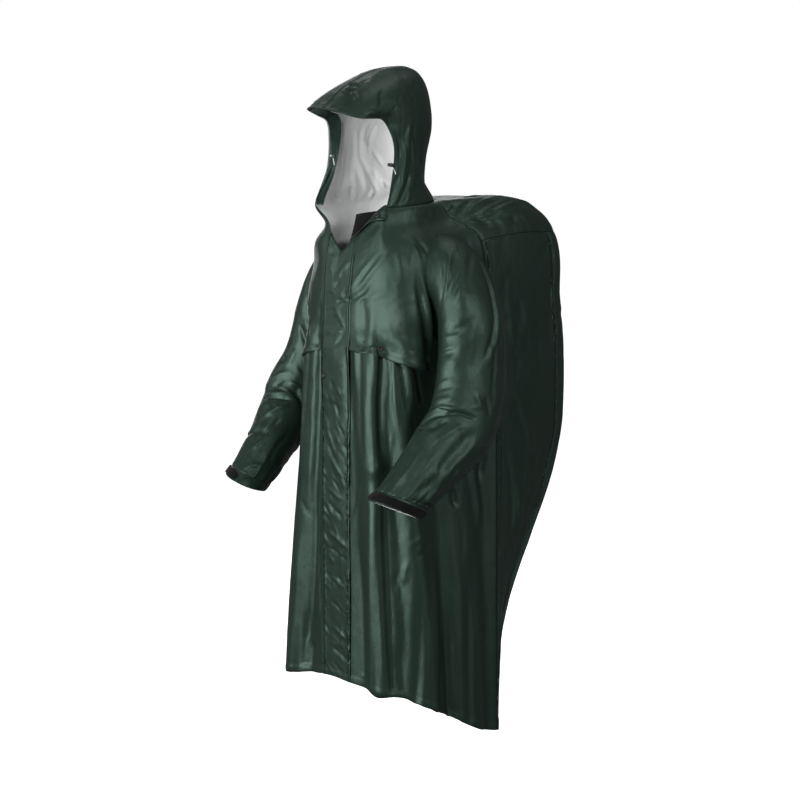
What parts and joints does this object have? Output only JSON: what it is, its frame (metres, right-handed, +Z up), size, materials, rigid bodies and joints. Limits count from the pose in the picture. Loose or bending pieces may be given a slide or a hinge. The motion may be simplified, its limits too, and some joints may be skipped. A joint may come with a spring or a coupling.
{
  "type": "rain poncho",
  "caption": "Hooded rain poncho with sleeves, a storm flap over the front zip and a gusseted bulge over a rucksack, filled out as worn.",
  "frame": {"origin": "between the wearer's shoulders, on the middle plane of the garment", "axes": "+Z up along the standing wearer, -Y to the front, +X to the wearer's left"},
  "size_m": [0.645, 0.6645, 1.4775],
  "materials": {
    "shell_nylon": "satin coated nylon",
    "black_trim": "matt brushed loop cloth",
    "zip_black": "matt",
    "snap_metal": "dark satin",
    "cord_lock": "moulded"
  },
  "bodies": {
    "root": {"hood_panel_left": "shell_nylon", "hood_panel_right": "shell_nylon", "hood_band_left": "shell_nylon", "hood_band_right": "shell_nylon", "chin_guard": "black_trim", "neck_flap": "shell_nylon", "storm_flap": "shell_nylon", "front_zip": "zip_black", "chest_yoke_left": "shell_nylon", "chest_yoke_right": "shell_nylon", "lower_front_left": "shell_nylon", "lower_front_right": "shell_nylon", "back_top": "shell_nylon", "bulge_gusset_left": "shell_nylon", "bulge_gusset_right": "shell_nylon", "back_panel": "shell_nylon", "sleeve_left": "shell_nylon", "sleeve_right": "shell_nylon", "cuff_band_left": "shell_nylon", "cuff_band_right": "shell_nylon", "cuff_tab_left": "black_trim", "cuff_tab_right": "black_trim", "snap_neck": "snap_metal", "snap_yoke": "snap_metal", "snap_flap": "snap_metal", "cord_lock_left": "cord_lock", "cord_lock_right": "cord_lock", "cord_eyelet_right": "snap_metal"}
  },
  "joints": []
}
